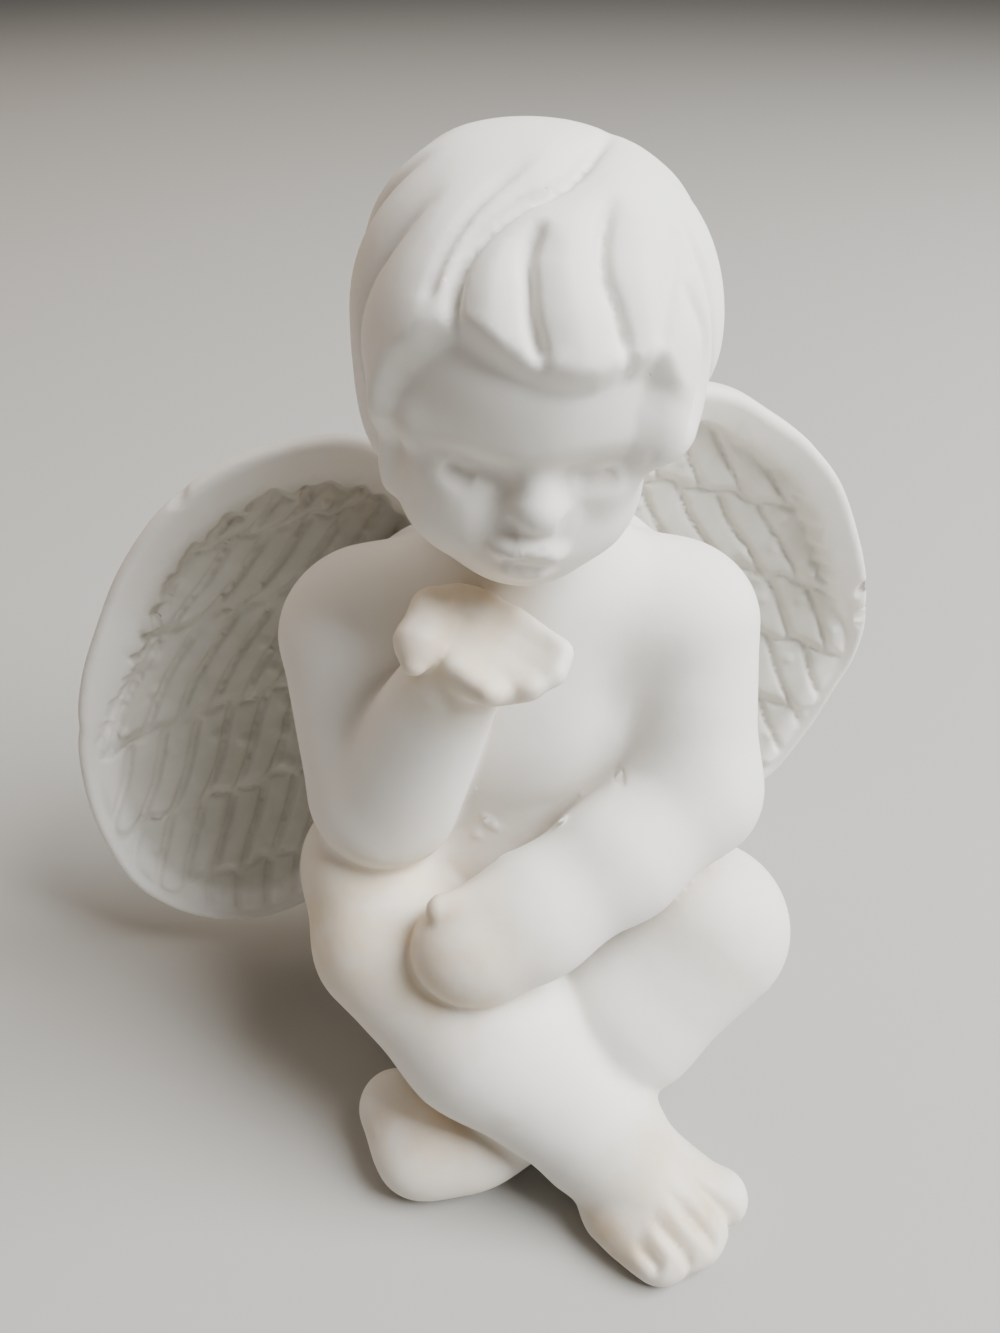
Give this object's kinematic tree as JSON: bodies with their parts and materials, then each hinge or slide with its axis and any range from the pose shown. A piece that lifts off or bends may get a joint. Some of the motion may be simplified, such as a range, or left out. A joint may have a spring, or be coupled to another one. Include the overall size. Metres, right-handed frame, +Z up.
{
  "type": "cherub figurine",
  "caption": "Seated winged cherub figurine, legs crossed, one open hand raised under the chin, cast in one piece of unglazed white porcelain.",
  "frame": {"origin": "on the flat underside of the seat, on the table, midway between the hips", "axes": "+Z up, -Y the way the figure faces, +X to the figure's left"},
  "size_m": [0.1205, 0.0803, 0.1267],
  "materials": {
    "bisque": "matt unglazed bisque"
  },
  "bodies": {
    "root": {"cherub_figurine": "bisque"}
  },
  "joints": []
}
